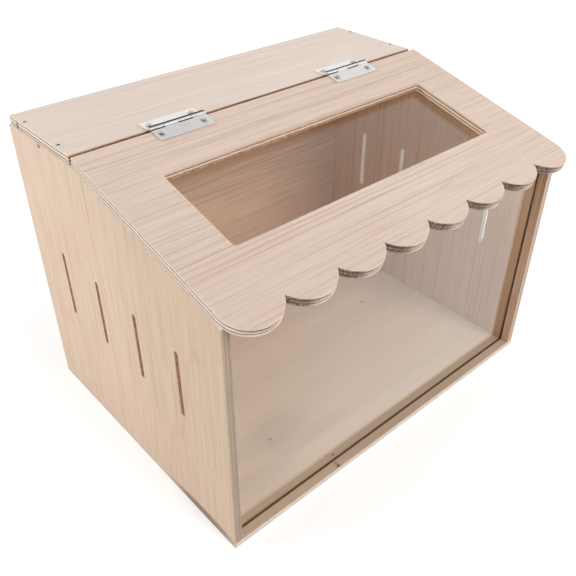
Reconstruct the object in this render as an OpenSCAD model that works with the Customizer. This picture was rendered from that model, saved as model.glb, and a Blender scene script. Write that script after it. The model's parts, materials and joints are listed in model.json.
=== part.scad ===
// Chick brooder box: plywood box with a hinged, scalloped lid, a lid window and a clear front pane.
// Millimetres. The origin is on the ground, at the middle of the whole object's footprint.
// +X is to the right seen from the front, +Y to the back, +Z up.

/* [Box] */
// Width across the outer faces of the side panels
box_w = 400; // [340:1:520]
// Depth of the side panels, front edge to back edge
box_d = 296; // [250:1:400]
// Height from the ground to the top of the roof strip
box_h = 292; // [270:1:340]
// Height of the side panels' front corner above the ground
front_h = 238; // [190:1:262]
// Depth of the flat part at the back of the side panels' top edge
flat_d = 114; // [90:1:140]
// Thickness of the side panels
side_t = 7.5; // [6:0.5:12]
// Thickness of the back panel
back_t = 7.5; // [6:0.5:12]
// Thickness of the floor
floor_t = 6; // [5:0.5:12]
// How far the back panel is let into each side panel
rebate_depth = 4; // [3:0.5:5]

/* [Roof strip] */
// Thickness of the roof strip
strip_t = 7.5; // [6:0.5:12]
// Distance from each end of the strip to the outer face of the side panel
strip_inset = 2; // [0:0.5:4]

/* [Lid] */
// Thickness of the lid
lid_t = 7.5; // [6:0.5:10]
// Length of the lid down the slope, back edge to scallop tips
lid_l = 210; // [205:1:240]
// Distance from each side of the lid to the outer face of the side panel
lid_inset = 1; // [0:0.5:4]
// How far the lid's back edge reaches behind the ridge of the side panels, along the slope
lid_back = 3.6; // [1:0.1:8]
// Number of scallops along the front edge
scallop_count = 8; // [5:1:12]
// Depth of the scallops, from the cusps to the tips
scallop_depth = 15.4; // [8:0.1:20]

/* [Lid window] */
// Width of the window
window_w = 300; // [220:1:330]
// Length of the window down the slope
window_length = 90; // [60:1:110]
// Distance from the lid's back edge to the window
window_back = 50.5; // [40:0.5:60]
// Corner radius of the window
window_r = 3; // [1:0.5:10]
// Thickness of the window pane
window_pane_t = 2.5; // [2:0.5:4]
// How far the pane reaches past the window's edges
window_lap = 14; // [10:0.5:18]

/* [Vent slots] */
// Number of slots in each side panel
slot_count = 4; // [2:1:4]
// Length of a slot
slot_l = 68; // [40:1:90]
// Width of a slot
slot_w = 5; // [4.5:0.5:8]
// Distance between neighbouring slots
slot_pitch = 59.4; // [30:0.1:62]
// Height of the slots' middle above the ground
slot_z = 146.3; // [120:0.1:160]
// How far the row of slots lies behind the middle of the side panel
slot_shift = 1.4; // [-8:0.1:8]

/* [Front pane] */
// Thickness of the front pane
pane_t = 2.5; // [2:0.5:3.5]
// Width of the groove that holds the pane
groove_w = 4; // [3.8:0.1:6]
// Distance from the front edges to the groove
groove_front = 8.7; // [6:0.1:16]
// Depth of the groove in the side panels
groove_depth = 4; // [2:0.5:5]
// Depth of the groove in the floor
floor_groove_depth = 3; // [2:0.5:4]

/* [Hinges] */
// Distance from the middle of the box to the middle of each hinge
hinge_x = 100; // [70:1:140]
// Length of a hinge along its pin
hinge_l = 55; // [45:1:80]
// Width of a leaf, from the pin's axis to its outer edge
leaf_w = 17.5; // [15:0.5:24]
// Thickness of a leaf
leaf_t = 1; // [0.8:0.1:1.4]
// Corner radius of a leaf
leaf_r = 1.2; // [0.5:0.1:3]
// Diameter of the hinge barrel
barrel_d = 4.4; // [4:0.1:5.5]
// Diameter of the hinge pin
hinge_pin_d = 2.2; // [1.6:0.1:2.8]
// How far the pin's rounded ends stand out of the barrel
hinge_pin_proud = 0.5; // [0.3:0.1:1]
// Number of knuckles, shared between the two leaves
knuckle_count = 4; // [2:1:6]
// Gap in a leaf's edge beside the other leaf's knuckles
leaf_notch = 1.4; // [0.3:0.1:2]
// Width of the seam along a knuckle, where its rolled plate ends
seam_w = 1.3; // [0.5:0.1:1.5]
// Depth of that seam
seam_depth = 0.5; // [0.3:0.1:0.6]
// Angle of that seam above the back of the barrel, in degrees
seam_angle = 82; // [40:1:100]
// Gap at the top between the roof strip and the lid
hinge_gap = 6.4; // [6:0.1:9]
// Distance from the middle of a hinge to its screws
hinge_screw_x = 21; // [15:0.5:22]
// Distance from the pin's axis to the hinge screws
hinge_screw_in = 9.7; // [8:0.1:11]

/* [Screws] */
// Shank diameter of the countersunk screws
screw_d = 3; // [2.5:0.1:3.5]
// Head diameter of the countersunk screws
screw_head_d = 6.4; // [5:0.1:6.6]
// Length of the countersunk screws
screw_l = 25; // [18:1:35]
// Distance from the end of the roof strip to its screws
strip_screw_end = 3.6; // [3.6:0.1:4]
// Distance from the front and back edges of the roof strip to its screws
strip_screw_in = 23; // [15:0.5:30]
// Distance from the front and back edges of the floor to its outer side screws
floor_screw_in = 40; // [30:1:60]
// Distance from the middle of the box to the outer screws of the back panel
back_screw_x = 120; // [60:1:150]
// Shank diameter of the hinge screws
hinge_screw_d = 2.6; // [2.2:0.1:3]
// Head diameter of the hinge screws
hinge_screw_head_d = 7; // [5:0.1:7.4]
// Head height of the hinge screws
hinge_screw_head_h = 1.3; // [1:0.1:1.4]
// Length of the hinge screws below the head
hinge_screw_l = 7; // [5:0.1:7]
// Shank diameter of the window pane screws
pane_screw_d = 2.4; // [2:0.1:3]
// Head diameter of the window pane screws
pane_screw_head_d = 5; // [4:0.1:6]
// Head height of the window pane screws
pane_screw_head_h = 1.4; // [1:0.1:2]
// Length of the window pane screws in the lid
pane_screw_l = 5; // [3:0.1:5.5]
// Shank diameter of the panel pins
panel_pin_d = 1.4; // [1.2:0.1:1.8]
// Head diameter of the panel pins
panel_pin_head_d = 3; // [2:0.1:3]
// Head thickness of the panel pins
panel_pin_head_h = 0.7; // [0.5:0.1:1]
// Length of the panel pins
panel_pin_l = 20; // [15:1:25]
// Distance from the ends of the back panel to its outer pins
panel_pin_in = 40; // [25:1:60]
// Number of panel pins down each side of the back panel
panel_pin_count = 4; // [2:1:6]

/* [Clearances] */
// Gap between the closed lid and the side panels
lid_gap = 0.2; // [0.1:0.1:0.5]
// Gap between the front pane's ends and the ends of its grooves
pane_play = 0.5; // [0.2:0.1:1]
// Gap behind the front pane in its groove
pane_rear_gap = 0.2; // [0.1:0.1:0.3]
// Gap between the front pane's top edge and the closed lid
pane_top_gap = 1.5; // [0.5:0.1:4]
// Gap between the back panel's ends and the rebates
back_play = 0.2; // [0.1:0.1:0.5]
// Radial clearance of the hinge pin in the knuckles
hinge_fit = 0.05; // [0.02:0.01:0.1]
// Gap between neighbouring knuckles
knuckle_gap = 0.3; // [0.2:0.05:0.5]
// Radial clearance of a screw or pin in its hole
screw_fit = 0.05; // [0.03:0.01:0.1]

/* [Hidden] */

// How far a cut runs past the face that it leaves
cut = 1;
// Arc steps on screen
$fn = 64;

// Shares of a screw that its countersink, its recess, its dome and its point take
countersink_share = 0.5;
recess_reach_share = 0.62;
recess_width_share = 0.15;
recess_depth_share = 0.6;
dome_share = 0.55;
point_share = 0.9;

// Colours of the veneer, the clear sheet, the hinges and the screws
veneer = "#dcc6b2";
veneer_pale = "#d9c8b4";
clear = [0.85, 0.88, 0.88, 0.3];
nickel = "#d5d6d8";
zinc = "#c3cbd4";

// Side panels: inner faces, ridge and slope of the top edge
inner_x = box_w / 2 - side_t;
ridge_y = box_d - flat_d;
ridge_z = box_h - strip_t;
slope = atan2(ridge_z - front_h, ridge_y);

// Lid: place of the back edge of its top face, half width, cusp line and scallops
lid_y = ridge_y + lid_back * cos(slope) - (lid_gap + lid_t) * sin(slope);
lid_z = ridge_z + lid_back * sin(slope) + (lid_gap + lid_t) * cos(slope);
lid_half = box_w / 2 - lid_inset;
cusp_l = lid_l - scallop_depth;
scallop_pitch = 2 * lid_half / scallop_count;
scallop_r = (pow(scallop_pitch / 2, 2) + pow(scallop_depth, 2)) / (2 * scallop_depth);

// Roof strip, hinge axis and the same axis seen from the lid
strip_y = lid_y + hinge_gap;
strip_half = box_w / 2 - strip_inset;
pin_y = (lid_y + strip_y) / 2;
pin_z = box_h + barrel_d / 2;
lid_pin_y = (pin_y - lid_y) * cos(slope) + (pin_z - lid_z) * sin(slope);
lid_pin_z = (pin_z - lid_z) * cos(slope) - (pin_y - lid_y) * sin(slope);
barrel_r = barrel_d / 2;
knuckle_l = hinge_l / knuckle_count;

// Front pane: its front face, half width and height of its top edge
pane_y = groove_front + groove_w - pane_rear_gap - pane_t;
pane_half = inner_x + groove_depth - pane_play;
pane_bottom = floor_t - floor_groove_depth;
pane_top = front_h + pane_y * tan(slope) - pane_top_gap;

// The front edges of the box lie this far from the middle of the footprint
overhang = lid_l * cos(slope) - lid_y;
front_y = (overhang - box_d) / 2;

// Places of the screws and pins
strip_screw_x = strip_half - strip_screw_end;
strip_screw_ys = [strip_y + strip_screw_in, box_d - strip_screw_in];
floor_screw_x = box_w / 2 - side_t / 2;
floor_screw_ys = [floor_screw_in, box_d / 2, box_d - floor_screw_in];
back_screw_y = box_d - back_t / 2;
panel_pin_x = inner_x + rebate_depth / 2;
panel_pin_step = (ridge_z - floor_t - 2 * panel_pin_in) / (panel_pin_count - 1);
pane_screw_x = window_w / 2;
pane_screw_ys = [-window_back + window_lap / 2, -window_back - window_length - window_lap / 2];

// Box frame: x from the middle, y from the front edges, z from the ground
module box_frame() {
    translate([0, front_y, 0]) children();
}

// Lid frame: x from the middle, y up the slope from the lid's back edge, z from its top face
module lid_frame() {
    box_frame() translate([0, lid_y, lid_z]) rotate([slope, 0, 0]) children();
}

// Block that spans two corners
module block(low, high) {
    translate(low) cube(high - low);
}

// Flat outline with round corners, from the corner at low to the corner at high
module round_outline(low, high, r) {
    translate([low.x + r, low.y]) square([high.x - low.x - 2 * r, high.y - low.y]);
    translate([low.x, low.y + r]) square([high.x - low.x, high.y - low.y - 2 * r]);
    for (x = [low.x + r, high.x - r], y = [low.y + r, high.y - r]) translate([x, y]) circle(r);
}

// Cross recess for a screw head of the given diameter, cut down from z = 0
module cross_recess(head_d, depth) {
    reach = head_d * recess_reach_share;
    width = head_d * recess_width_share;
    for (turn = [0, 90]) {
        rotate([0, 0, turn]) block([-reach / 2, -width / 2, -depth], [reach / 2, width / 2, cut]);
    }
}

// Solid of revolution of a countersunk screw, head flush with z = 0, pointing down.
// grow widens it into the hole that it goes in, and open carries the hole up past the face.
module countersunk_shape(grow, open) {
    r = screw_d / 2 + grow;
    head_r = screw_head_d / 2 + grow;
    head_h = screw_head_d * countersink_share;
    point_h = screw_d * point_share;
    length = screw_l + grow;
    side = [[0, -length], [r, -length + point_h], [r, -head_h], [head_r, 0]];
    mouth = open > 0 ? [[head_r, open], [0, open]] : [[0, 0]];
    rotate_extrude() polygon(concat(side, mouth));
}

module countersunk_screw() {
    difference() {
        countersunk_shape(0, 0);
        cross_recess(screw_head_d, screw_head_d * countersink_share * recess_depth_share);
    }
}

module countersunk_hole() {
    countersunk_shape(screw_fit, cut);
}

// Raised-head screw, underside of the head at z = 0, pointing down
module raised_screw(d, head_d, head_h, length) {
    rise = head_h * dome_share;
    dome_r = (pow(head_d / 2, 2) + pow(rise, 2)) / (2 * rise);
    point_h = d * point_share;
    shank = [[0, -length], [d / 2, -length + point_h], [d / 2, head_h / 2], [0, head_h / 2]];
    difference() {
        union() {
            intersection() {
                translate([0, 0, head_h - dome_r]) sphere(dome_r);
                cylinder(h = head_h + cut, d = head_d);
            }
            rotate_extrude() polygon(shank);
        }
        translate([0, 0, head_h]) cross_recess(head_d, head_h * recess_depth_share);
    }
}

// Hole for a raised-head screw in what lies under its head
module raised_hole(d, length) {
    translate([0, 0, -length - screw_fit]) cylinder(h = length + screw_fit + cut, d = d + 2 * screw_fit);
}

module hinge_screw() {
    raised_screw(hinge_screw_d, hinge_screw_head_d, hinge_screw_head_h, hinge_screw_l);
}

module hinge_screw_hole() {
    raised_hole(hinge_screw_d, hinge_screw_l);
}

module pane_screw() {
    mirror([0, 0, 1]) raised_screw(
        pane_screw_d, pane_screw_head_d, pane_screw_head_h, window_pane_t + pane_screw_l);
}

module pane_screw_hole() {
    mirror([0, 0, 1]) raised_hole(pane_screw_d, window_pane_t + pane_screw_l);
}

// Panel pin with its flat head sunk flush with the back, pointing forward along -y
module panel_pin_shape(grow, open) {
    rotate([90, 0, 0]) {
        cylinder(h = panel_pin_l + grow, d = panel_pin_d + 2 * grow);
        translate([0, 0, -open]) cylinder(h = panel_pin_head_h + open, d = panel_pin_head_d + 2 * grow);
    }
}

// Places of the fasteners
module at_strip_screws() {
    for (side = [-1, 1], y = strip_screw_ys) translate([side * strip_screw_x, y, box_h]) children();
}

module at_floor_screws() {
    for (side = [-1, 1], y = floor_screw_ys) {
        translate([side * floor_screw_x, y, 0]) mirror([0, 0, 1]) children();
    }
    for (x = [-back_screw_x, 0, back_screw_x]) translate([x, back_screw_y, 0]) mirror([0, 0, 1]) children();
}

module at_panel_pins() {
    for (side = [-1, 1], i = [0 : panel_pin_count - 1]) {
        translate([side * panel_pin_x, box_d, floor_t + panel_pin_in + i * panel_pin_step]) children();
    }
}

// Hinge screws on the roof strip, and on the lid in the lid frame, for the hinge at x
module at_fixed_screws(x) {
    for (side = [-1, 1]) {
        translate([x + side * hinge_screw_x, pin_y + hinge_screw_in, box_h + leaf_t]) children();
    }
}

module at_lid_screws(x) {
    for (side = [-1, 1]) translate([x + side * hinge_screw_x, lid_pin_y - hinge_screw_in, leaf_t]) children();
}

// Window pane screws in the lid frame, heads against the pane's underside
module at_pane_screws() {
    for (x = [-pane_screw_x, 0, pane_screw_x], y = pane_screw_ys) {
        translate([x, y, -lid_t - window_pane_t]) children();
    }
}

// Right side panel in the box frame
module side_blank() {
    outline = [
        [0, floor_t],
        [0, front_h],
        [ridge_y, ridge_z],
        [box_d, ridge_z],
        [box_d, floor_t]
    ];
    translate([inner_x, 0, 0]) rotate([90, 0, 90]) linear_extrude(side_t) polygon(outline);
}

// Upright slot with round ends
module slot_outline() {
    straight = slot_l - slot_w;
    square([slot_w, straight], center = true);
    for (end = [-1, 1]) translate([0, end * straight / 2]) circle(d = slot_w);
}

module vent_slots() {
    first_y = box_d / 2 + slot_shift - slot_pitch * (slot_count - 1) / 2;
    for (i = [0 : slot_count - 1]) {
        translate([inner_x - cut, first_y + i * slot_pitch, slot_z]) rotate([90, 0, 90])
            linear_extrude(side_t + 2 * cut) slot_outline();
    }
}

module side_panel() {
    difference() {
        side_blank();
        vent_slots();
        // Groove for the front pane, open at the top
        block(
            [inner_x - cut, groove_front, floor_t - cut],
            [inner_x + groove_depth, groove_front + groove_w, box_h]);
        // Rebate for the back panel
        block(
            [inner_x - cut, box_d - back_t, floor_t - cut],
            [inner_x + rebate_depth, box_d + cut, box_h]);
        at_strip_screws() countersunk_hole();
        at_floor_screws() countersunk_hole();
        at_panel_pins() panel_pin_shape(screw_fit, cut);
    }
}

module left_side_panel() {
    color(veneer) box_frame() mirror([1, 0, 0]) side_panel();
}

module right_side_panel() {
    color(veneer) box_frame() side_panel();
}

module floor_panel() {
    groove_half = pane_half + pane_play;
    color(veneer_pale) box_frame() difference() {
        block([-box_w / 2, 0, 0], [box_w / 2, box_d, floor_t]);
        block(
            [-groove_half, groove_front, pane_bottom],
            [groove_half, groove_front + groove_w, floor_t + cut]);
        at_floor_screws() countersunk_hole();
    }
}

module back_panel() {
    half = inner_x + rebate_depth - back_play;
    color(veneer_pale) box_frame() difference() {
        block([-half, box_d - back_t, floor_t], [half, box_d, ridge_z]);
        at_floor_screws() countersunk_hole();
        at_panel_pins() panel_pin_shape(screw_fit, cut);
    }
}

module roof_strip() {
    color(veneer) box_frame() difference() {
        block([-strip_half, strip_y, ridge_z], [strip_half, box_d, box_h]);
        at_strip_screws() countersunk_hole();
        for (x = [-hinge_x, hinge_x]) at_fixed_screws(x) hinge_screw_hole();
    }
}

// Lid outline in the lid frame: a row of discs gives the scallops, and a blank with round
// front corners turns the end scallops smoothly into the lid's sides
module lid_outline() {
    corner_r = scallop_pitch / 2;
    intersection() {
        union() {
            translate([-lid_half, -cusp_l]) square([2 * lid_half, cusp_l]);
            for (i = [0 : scallop_count - 1]) {
                translate([-lid_half + (i + 1 / 2) * scallop_pitch, -lid_l + scallop_r]) circle(scallop_r);
            }
        }
        union() {
            translate([-lid_half, -lid_l + corner_r]) square([2 * lid_half, lid_l - corner_r]);
            translate([-lid_half + corner_r, -lid_l]) square([2 * (lid_half - corner_r), lid_l]);
            for (x = [-lid_half + corner_r, lid_half - corner_r]) {
                translate([x, -lid_l + corner_r]) circle(corner_r);
            }
        }
    }
}

module window_outline() {
    round_outline([-window_w / 2, -window_back - window_length], [window_w / 2, -window_back], window_r);
}

module lid_panel() {
    color(veneer) lid_frame() difference() {
        translate([0, 0, -lid_t]) linear_extrude(lid_t) lid_outline();
        translate([0, 0, -lid_t - cut]) linear_extrude(lid_t + 2 * cut) window_outline();
        for (x = [-hinge_x, hinge_x]) at_lid_screws(x) hinge_screw_hole();
        at_pane_screws() pane_screw_hole();
    }
}

module lid_window_pane() {
    color(clear) lid_frame() difference() {
        block(
            [-window_w / 2 - window_lap, -window_back - window_length - window_lap, -lid_t - window_pane_t],
            [window_w / 2 + window_lap, -window_back + window_lap, -lid_t]);
        at_pane_screws() pane_screw_hole();
    }
}

module front_pane() {
    color(clear) box_frame() block([-pane_half, pane_y, pane_bottom], [pane_half, pane_y + pane_t, pane_top]);
}

// Pin bore through a whole hinge, along x
module hinge_bore() {
    bore_l = hinge_l + 2 * cut;
    translate([-bore_l / 2, 0, 0]) rotate([0, 90, 0]) cylinder(h = bore_l, d = hinge_pin_d + 2 * hinge_fit);
}

// Every second knuckle of a hinge, with the web of its leaf. The leaf lies on the side that
// way points to, with its underside at base, seen from the pin's axis.
module knuckles(first, way, base) {
    for (i = [first : 2 : knuckle_count - 1]) {
        low_x = -hinge_l / 2 + i * knuckle_l + (i > 0 ? knuckle_gap / 2 : 0);
        high_x = -hinge_l / 2 + (i + 1) * knuckle_l - (i < knuckle_count - 1 ? knuckle_gap / 2 : 0);
        translate([low_x, 0, 0]) rotate([0, 90, 0]) cylinder(h = high_x - low_x, r = barrel_r);
        web_end = way * (barrel_r + leaf_notch + knuckle_gap);
        block([low_x, min(0, web_end), base], [high_x, max(0, web_end), base + leaf_t]);
    }
}

// Seam along the barrel, as a cut at an angle above +y
module roll_seam(angle) {
    half_l = hinge_l / 2 + cut;
    floor_r = barrel_r - seam_depth;
    rotate([angle, 0, 0]) block([-half_l, floor_r, -seam_w / 2], [half_l, barrel_r + cut, seam_w / 2]);
}

// Plate of a leaf, clear of the other leaf's knuckles
module leaf_plate(way, base) {
    inner = barrel_r + leaf_notch;
    translate([0, 0, base]) linear_extrude(leaf_t) mirror([0, way > 0 ? 0 : 1]) {
        translate([-hinge_l / 2, inner]) square([hinge_l, leaf_w - inner - leaf_r]);
        round_outline([-hinge_l / 2, inner + leaf_r], [hinge_l / 2, leaf_w], leaf_r);
    }
}

module fixed_leaf(x) {
    color(nickel) box_frame() difference() {
        translate([x, pin_y, pin_z]) difference() {
            union() {
                knuckles(0, 1, -barrel_r);
                leaf_plate(1, -barrel_r);
            }
            hinge_bore();
            roll_seam(seam_angle);
        }
        at_fixed_screws(x) hinge_screw_hole();
    }
}

module lid_leaf(x) {
    color(nickel) lid_frame() difference() {
        translate([x, lid_pin_y, lid_pin_z]) difference() {
            union() {
                knuckles(1, -1, -lid_pin_z);
                leaf_plate(-1, -lid_pin_z);
            }
            hinge_bore();
            roll_seam(seam_angle - slope);
        }
        at_lid_screws(x) hinge_screw_hole();
    }
}

// Pin with rounded ends
module hinge_pin(x) {
    end_r = (pow(hinge_pin_d / 2, 2) + pow(hinge_pin_proud, 2)) / (2 * hinge_pin_proud);
    color(zinc) box_frame() translate([x, pin_y, pin_z]) rotate([0, 90, 0]) intersection() {
        translate([0, 0, -hinge_l / 2 - hinge_pin_proud])
            cylinder(h = hinge_l + 2 * hinge_pin_proud, d = hinge_pin_d);
        union() {
            translate([0, 0, -hinge_l / 2]) cylinder(h = hinge_l, d = hinge_pin_d + cut);
            for (side = [-1, 1]) {
                translate([0, 0, side * (hinge_l / 2 + hinge_pin_proud - end_r)]) sphere(end_r);
            }
        }
    }
}

module left_hinge_fixed_leaf() {
    fixed_leaf(-hinge_x);
}

module left_hinge_lid_leaf() {
    lid_leaf(-hinge_x);
}

module left_hinge_pin() {
    hinge_pin(-hinge_x);
}

module right_hinge_fixed_leaf() {
    fixed_leaf(hinge_x);
}

module right_hinge_lid_leaf() {
    lid_leaf(hinge_x);
}

module right_hinge_pin() {
    hinge_pin(hinge_x);
}

module roof_strip_screws() {
    color(zinc) box_frame() at_strip_screws() countersunk_screw();
}

module left_hinge_fixed_screws() {
    color(zinc) box_frame() at_fixed_screws(-hinge_x) hinge_screw();
}

module left_hinge_lid_screws() {
    color(zinc) lid_frame() at_lid_screws(-hinge_x) hinge_screw();
}

module right_hinge_fixed_screws() {
    color(zinc) box_frame() at_fixed_screws(hinge_x) hinge_screw();
}

module right_hinge_lid_screws() {
    color(zinc) lid_frame() at_lid_screws(hinge_x) hinge_screw();
}

module floor_screws() {
    color(zinc) box_frame() at_floor_screws() countersunk_screw();
}

module back_panel_pins() {
    color(zinc) box_frame() at_panel_pins() panel_pin_shape(0, 0);
}

module lid_pane_screws() {
    color(zinc) lid_frame() at_pane_screws() pane_screw();
}

left_side_panel();
right_side_panel();
floor_panel();
back_panel();
roof_strip();
lid_panel();
lid_window_pane();
front_pane();
left_hinge_fixed_leaf();
left_hinge_lid_leaf();
left_hinge_pin();
right_hinge_fixed_leaf();
right_hinge_lid_leaf();
right_hinge_pin();
roof_strip_screws();
left_hinge_fixed_screws();
left_hinge_lid_screws();
right_hinge_fixed_screws();
right_hinge_lid_screws();
floor_screws();
back_panel_pins();
lid_pane_screws();
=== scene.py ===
import json
import math

import bmesh
import bpy
from mathutils import Matrix, Vector

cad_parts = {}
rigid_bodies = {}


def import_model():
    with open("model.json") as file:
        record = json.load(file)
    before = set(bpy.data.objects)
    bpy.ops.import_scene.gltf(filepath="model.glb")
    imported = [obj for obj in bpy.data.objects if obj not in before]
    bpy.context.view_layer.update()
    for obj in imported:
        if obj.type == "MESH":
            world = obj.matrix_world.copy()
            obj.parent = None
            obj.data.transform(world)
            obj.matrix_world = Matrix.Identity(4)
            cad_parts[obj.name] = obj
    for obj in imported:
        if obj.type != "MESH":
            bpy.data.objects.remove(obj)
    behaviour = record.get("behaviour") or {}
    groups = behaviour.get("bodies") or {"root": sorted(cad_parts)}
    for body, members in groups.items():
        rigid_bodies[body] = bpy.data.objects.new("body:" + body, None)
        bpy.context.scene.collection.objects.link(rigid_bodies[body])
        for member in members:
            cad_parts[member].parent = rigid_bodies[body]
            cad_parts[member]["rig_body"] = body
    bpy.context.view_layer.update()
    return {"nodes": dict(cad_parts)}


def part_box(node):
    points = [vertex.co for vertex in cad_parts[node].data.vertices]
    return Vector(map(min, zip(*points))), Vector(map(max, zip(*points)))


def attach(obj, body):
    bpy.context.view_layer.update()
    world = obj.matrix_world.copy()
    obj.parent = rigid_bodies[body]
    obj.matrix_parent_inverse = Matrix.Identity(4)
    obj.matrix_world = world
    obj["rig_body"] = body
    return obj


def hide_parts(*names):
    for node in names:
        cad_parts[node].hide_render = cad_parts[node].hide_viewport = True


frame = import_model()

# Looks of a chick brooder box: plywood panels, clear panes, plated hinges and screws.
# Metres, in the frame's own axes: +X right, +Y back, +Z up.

MM = 0.001
AXIS_X = Vector((1, 0, 0))
AXIS_Y = Vector((0, 1, 0))
AXIS_Z = Vector((0, 0, 1))

# Cosines that sort faces: above FLAT a face looks along an axis, and below ACROSS it looks across it
FLAT = 0.9
ACROSS = 0.5

# Camera, at the photograph's viewing angle: metres, degrees, and millimetres for the lens
CAMERA_PLACE = (-0.40020, -0.42784, 0.52705)
CAMERA_AZIMUTH = -41.703
CAMERA_ELEVATION = 36.099
CAMERA_ROLL = 0.1835
CAMERA_LENS = 43.965
CAMERA_SENSOR = 36.0

# Light that the surroundings give, and the sky that the camera and mirrors see: its brightness by
# height, from 0 at the horizon to 1 overhead
WORLD_LIGHT = 0.49
SKY_SHOWN = [
    (0.0, 1.0), (0.52, 1.0), (0.62, 0.88), (0.72, 0.80), (0.80, 0.62),
    (0.88, 0.20), (0.93, 0.03), (1.0, 0.02),
]

# Stage floor, lifted to white by a glow that grows from FLOOR_NEAR to FLOOR_FAR
FLOOR_COLOUR = (0.86, 0.86, 0.86, 1.0)
FLOOR_ROUGHNESS = 0.9
FLOOR_LIFT_NEAR, FLOOR_LIFT_FAR = 0.34, 0.65
FLOOR_NEAR, FLOOR_FAR = 0.35, 1.00
FLOOR_REACH = 6.0

# Lamps: name, place, diameter and power in watts
LAMPS = [
    ("front_lamp", (0.50, -2.55, 2.10), 1.5, 46.0),
    ("side_lamp", (-1.40, 0.95, 1.15), 0.9, 14.5),
    ("right_lamp", (1.80, -0.35, 0.80), 0.8, 8.0),
    ("low_lamp", (0.20, -2.20, 0.62), 0.9, 4.5),
]
LAMP_AIM = Vector((0.0, 0.0, 0.14))

# Mesh finish: corners this close are one, faces this level are joined, and sharper edges are rounded
MERGE_DISTANCE = 0.002 * MM
JOIN_ANGLE = math.radians(0.6)
SMOOTH_ANGLE = math.radians(32)
ROUNDED_ANGLE = math.radians(40)
ROUNDED_SEGMENTS = 2
PANEL_EDGE = 0.35 * MM
PANE_EDGE = 0.20 * MM
METAL_EDGE = 0.14 * MM
SCREW_EDGE = 0.05 * MM


# Places taken from the frame

def mesh_top_normal(node):
    """Mean direction of a panel's upper faces."""
    total = Vector()
    for face in frame["nodes"][node].data.polygons:
        if face.normal.z > FLAT:
            total += face.normal * face.area
    return total.normalized()


side_low, side_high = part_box("right_side_panel")
strip_low, strip_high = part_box("roof_strip")
floor_low, floor_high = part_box("floor_panel")
back_low, back_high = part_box("back_panel")
lid_low, lid_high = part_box("lid_panel")
pane_low, pane_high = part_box("front_pane")
window_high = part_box("lid_window_pane")[1]
LEFT_X = floor_low.x
FRONT_Y = floor_low.y
SIDE_T = side_high.x - side_low.x
STRIP_T = strip_high.z - strip_low.z
FLOOR_T = floor_high.z - floor_low.z
BACK_T = back_high.y - back_low.y
LID_NORMAL = mesh_top_normal("lid_panel")
lid_levels = [v.co.dot(LID_NORMAL) for v in frame["nodes"]["lid_panel"].data.vertices]
LID_LOW = min(lid_levels)
LID_T = max(lid_levels) - LID_LOW

# Order of a panel's materials: every panel's face and cut edge, then those of its own kind
FACE, CUT = 0, 1
SIDE_SLOT, SIDE_GROOVE, SIDE_INNER, SIDE_POST = 2, 3, 4, 5
FLOOR_GROOVE = 2
LID_SCALLOP, LID_WINDOW = 2, 3

# Order of the two materials of a hinge leaf or a screw
BRIGHT, DARK = 0, 1

# Where the slots, the pane's grooves, the scallops and the window are: distances in from the panels'
# edges, heights of the slots' walls, and room before and behind the pane
SLOT_MARGIN = 20 * MM
SLOT_LOW, SLOT_HIGH = 0.1, 0.2
GROOVE_BEFORE, GROOVE_BEHIND = 1.5 * MM, 0.4 * MM
LID_MARGIN = 17 * MM
SCORCH_AND_SHADE_MARGIN = 22 * MM

# Gap under the left panel's lower edge: where it starts, is highest and ends behind the front
GAP_START, GAP_PEAK, GAP_END = 4.0 * MM, 24.0 * MM, 84.0 * MM
GAP_RISE = 1.1 * MM
GAP_STEPS = 12
CUT_DISTANCE = 1e-7
SAME_LEVEL = 1e-5

# Hinge knuckles: the band of painted shade and painted reflection over the top and upper back of the
# roll, as angles back from its top, and how far the outer and the inner faces are from the pin's axis,
# as shares of the pin's diameter. Faces inside the inner reach, in the bores, get painted shade too
SHADE_BAND_FROM, SHADE_BAND_TO = math.radians(-30), math.radians(60)
KNUCKLE_OUTER_SHARE = 1.05
KNUCKLE_INNER_SHARE = 0.93

# Screw heads, as shares of their radius: how far out the recess goes, how deep its floor lies at the
# least and at the most, and where the rim begins. The recess and the rim get painted shade
RECESS_REACH_SHARE = 0.8
RECESS_FLOOR_SHARE = 0.2
RECESS_DEPTH_SHARE = 0.7
RIM_SHARE = 0.97

# Veneer colours, each with that of its growth lines: pinkish above and warmer on the sides, partly each
# panel's own veneer and partly painted light. The inner, far, post and back colours are darker, warmer
# copies of the same plywood for the inside faces: painted shade and painted bounced light
LID_VENEER = (0.745, 0.60, 0.51), (0.41, 0.26, 0.185)
STRIP_VENEER = (0.84, 0.72, 0.64), (0.50, 0.34, 0.25)
SIDE_VENEER = (0.82, 0.63, 0.49), (0.44, 0.265, 0.16)
INNER_VENEER = (0.73, 0.535, 0.38), (0.40, 0.23, 0.14)
FAR_VENEER = (0.70, 0.465, 0.285), (0.35, 0.185, 0.10)
POST_VENEER = (0.90, 0.62, 0.455), (0.44, 0.25, 0.15)
FLOOR_VENEER = (0.845, 0.675, 0.515), (0.54, 0.385, 0.28)
BACK_VENEER = (0.82, 0.58, 0.41), (0.34, 0.185, 0.11)

# What the clouds and fades leave of a veneer's colour
CLOUD_SHARES = (0.89, 0.88, 0.84)
FLOOR_CLOUD_SHARES = (0.70, 0.68, 0.655)
TOP_CLOUD_SHARES = (0.93, 0.915, 0.905)
BACK_CLOUD_SHARES = (0.74, 0.69, 0.65)
POST_SHARES = (0.50, 0.46, 0.38)

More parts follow.
